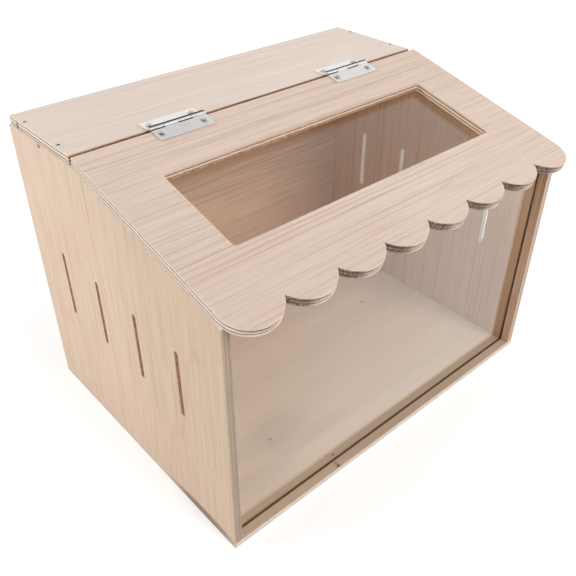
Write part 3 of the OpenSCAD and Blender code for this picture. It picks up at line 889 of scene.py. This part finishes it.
panel(
    "back_panel", AXIS_Y,
    [
        veneer(
            "veneer_back", AXIS_X, BACK_VENEER, (2.9, 0.9, 0.4),
            lines=0.55, fine=0.34, fade=BACK_FADE, shares=BACK_CLOUD_SHARES),
        ply_edge("edge_back", AXIS_Y, back_low.y, BACK_T, AXIS_X, LID_LAYERS, (0.9, 0.0, 0.0)),
    ],
)
panel(
    "roof_strip", AXIS_Z,
    [
        veneer(
            "veneer_strip", AXIS_X, STRIP_VENEER, (1.7, 0.53, 0.2),
            lines=0.24, fine=0.22, fade=STRIP_FADE, shares=TOP_CLOUD_SHARES),
        ply_edge(
            "edge_strip", AXIS_Z, strip_low.z, STRIP_T, AXIS_X, STRIP_LAYERS, (0.0, 0.4, 0.0),
            marks=STRIP_MARKS),
    ],
)
panel(
    "lid_panel", LID_NORMAL,
    [
        veneer(
            "veneer_lid", AXIS_X, LID_VENEER, (0.3, 0.11, 0.0),
            lines=0.34, fine=0.32, cloud=0.5, marks=LID_MARKS, fade=LID_FADE, shares=TOP_CLOUD_SHARES),
        ply_edge("edge_lid", LID_NORMAL, LID_LOW, LID_T, AXIS_X, LID_LAYERS, (1.3, 0.0, 0.0)),
        ply_edge(
            "edge_scallops", LID_NORMAL, LID_LOW, LID_T, AXIS_X, LID_LAYERS, (1.3, 0.0, 0.0),
            scorch_and_shade_from=lid_low.x + SCORCH_AND_SHADE_MARGIN),
        ply_edge(
            "edge_window", LID_NORMAL, LID_LOW, LID_T, AXIS_X, WINDOW_LAYERS, (0.2, 0.0, 0.0),
            ends=WINDOW_ENDS, bands=WINDOW_BANDS),
    ],
    lid_special,
)

# Clear panes

pane("front_pane", acrylic("front_acrylic", FRONT_COAT_REACH))
pane("lid_window_pane", acrylic("window_acrylic"))

# Hinges, screws and pins

nickel = plated("nickel_plate", NICKEL, NICKEL_ROUGHNESS)
zinc = plated("zinc_plate", ZINC, ZINC_ROUGHNESS)
bright_zinc = plated("bright_zinc_plate", BRIGHT_ZINC, BRIGHT_ZINC_ROUGHNESS)
dark_steel = painted_shade_steel("dark_steel", DARK_STEEL)
recess_steel = painted_shade_steel("recess_steel", RECESS_STEEL)
for side in ("left", "right"):
    for leaf in ("fixed", "lid"):
        hinge_leaf(f"{side}_hinge_{leaf}_leaf", f"{side}_hinge_pin", nickel, dark_steel)
    screws(f"{side}_hinge_fixed_screws", AXIS_Z, bright_zinc, recess_steel)
    screws(f"{side}_hinge_lid_screws", LID_NORMAL, bright_zinc, recess_steel)
screws("roof_strip_screws", AXIS_Z, zinc, dark_steel)
screws("floor_screws", -AXIS_Z, zinc, dark_steel)
screws("lid_pane_screws", -LID_NORMAL, zinc, dark_steel)
pin_metals = {"left_hinge_pin": nickel, "right_hinge_pin": nickel, "back_panel_pins": zinc}
for node, metal in pin_metals.items():
    for slot in frame["nodes"][node].material_slots:
        slot.material = metal


# Stage, light and camera. A ray with fewer diffuse bounces than this has had none

NO_BOUNCE = 0.5


def seen_directly(tree):
    """1 for what the camera sees, also in a mirror or through a clear sheet, and 0 for light on surfaces."""
    path = make(tree, "LightPath").outputs
    direct = math_node(tree, "MAXIMUM", path["Is Camera Ray"], path["Is Glossy Ray"])
    direct = math_node(tree, "MAXIMUM", direct, path["Is Transmission Ray"])
    first = math_node(tree, "LESS_THAN", path["Diffuse Depth"], NO_BOUNCE)
    return math_node(tree, "MULTIPLY", direct, first)


def make_floor():
    """Pale floor that shows as white where nothing shades it."""
    mesh = bpy.data.meshes.new("studio_floor")
    r = FLOOR_REACH
    mesh.from_pydata([(-r, -r, 0), (r, -r, 0), (r, r, 0), (-r, r, 0)], [], [(0, 1, 2, 3)])
    obj = bpy.data.objects.new("studio_floor", mesh)
    bpy.context.scene.collection.objects.link(obj)
    mat, tree, bsdf = material("studio_floor")
    bsdf.inputs["Base Color"].default_value = FLOOR_COLOUR
    bsdf.inputs["Roughness"].default_value = FLOOR_ROUGHNESS
    bsdf.inputs["Specular IOR Level"].default_value = 0.0
    away = length_of(tree, object_place(tree))
    lift = step(tree, away, FLOOR_NEAR, FLOOR_FAR, FLOOR_LIFT_FAR, FLOOR_LIFT_NEAR)
    glow = make(tree, "Emission", {"Strength": math_node(tree, "MULTIPLY", seen_directly(tree), lift)})
    both = make(tree, "AddShader", {0: bsdf.outputs[0], 1: glow.outputs[0]})
    tree.links.new(both.outputs[0], tree.nodes["Material Output"].inputs["Surface"])
    mesh.materials.append(mat)


def make_world():
    """Even light, shown to the camera as white that darkens towards the ceiling."""
    world = bpy.data.worlds.new("studio")
    bpy.context.scene.world = world
    world.use_nodes = True
    tree = world.node_tree
    light = tree.nodes["Background"]
    light.inputs["Color"].default_value = (1.0, 1.0, 1.0, 1.0)
    light.inputs["Strength"].default_value = WORLD_LIGHT
    way = make(tree, "TexCoord").outputs["Generated"]
    height = make(tree, "SeparateXYZ", {0: way}).outputs["Z"]
    shown = make(tree, "Background", {"Color": ramp(tree, height, SKY_SHOWN), "Strength": 1.0})
    both = make(tree, "MixShader", {0: seen_directly(tree), 1: light.outputs[0], 2: shown.outputs[0]})
    tree.links.new(both.outputs[0], tree.nodes["World Output"].inputs["Surface"])


def make_lamp(name, place, diameter, power):
    """White disc lamp that looks at the middle of the object and doesn't show in mirrors."""
    data = bpy.data.lights.new(name, "AREA")
    data.shape = "DISK"
    data.size = diameter
    data.energy = power
    obj = bpy.data.objects.new(name, data)
    obj.location = place
    obj.visible_glossy = False
    obj.rotation_euler = (LAMP_AIM - Vector(place)).to_track_quat("-Z", "Y").to_euler()
    bpy.context.scene.collection.objects.link(obj)


def make_camera():
    """Camera at the photograph's place, turned, tilted and rolled."""
    data = bpy.data.cameras.new("photo_camera")
    data.sensor_width = CAMERA_SENSOR
    data.lens = CAMERA_LENS
    obj = bpy.data.objects.new("photo_camera", data)
    turn = Matrix.Rotation(math.radians(CAMERA_AZIMUTH), 4, "Z")
    tilt = Matrix.Rotation(math.radians(90 - CAMERA_ELEVATION), 4, "X")
    roll = Matrix.Rotation(math.radians(CAMERA_ROLL), 4, "Z")
    obj.matrix_world = Matrix.Translation(CAMERA_PLACE) @ turn @ tilt @ roll
    bpy.context.scene.collection.objects.link(obj)
    bpy.context.scene.camera = obj


make_floor()
make_world()
for lamp in LAMPS:
    make_lamp(*lamp)
make_camera()
bpy.context.scene.view_settings.view_transform = "Standard"
